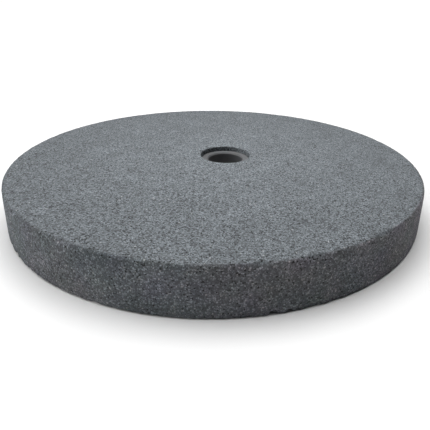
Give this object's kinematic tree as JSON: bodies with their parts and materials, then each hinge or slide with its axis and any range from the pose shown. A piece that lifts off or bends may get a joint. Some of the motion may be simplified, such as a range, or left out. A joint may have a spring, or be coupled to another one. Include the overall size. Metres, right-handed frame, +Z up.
{
  "type": "grinding wheel",
  "caption": "Straight bonded abrasive wheel, a flat grey disc with a reducing bush set back in its bore for mounting on a grinder's spindle.",
  "frame": {"origin": "centre of the wheel's lower face, on the spindle axis", "axes": "+Z up along the spindle axis, with the wheel lying on its lower face; +X and +Y across the disc, which is round, so their direction is free"},
  "size_m": [0.25, 0.25, 0.025],
  "materials": {
    "abrasive": "coarse open grain, unglazed",
    "bush": "smooth moulded, satin"
  },
  "bodies": {
    "root": {"abrasive_disc": "abrasive", "reducing_bush": "bush"}
  },
  "joints": []
}
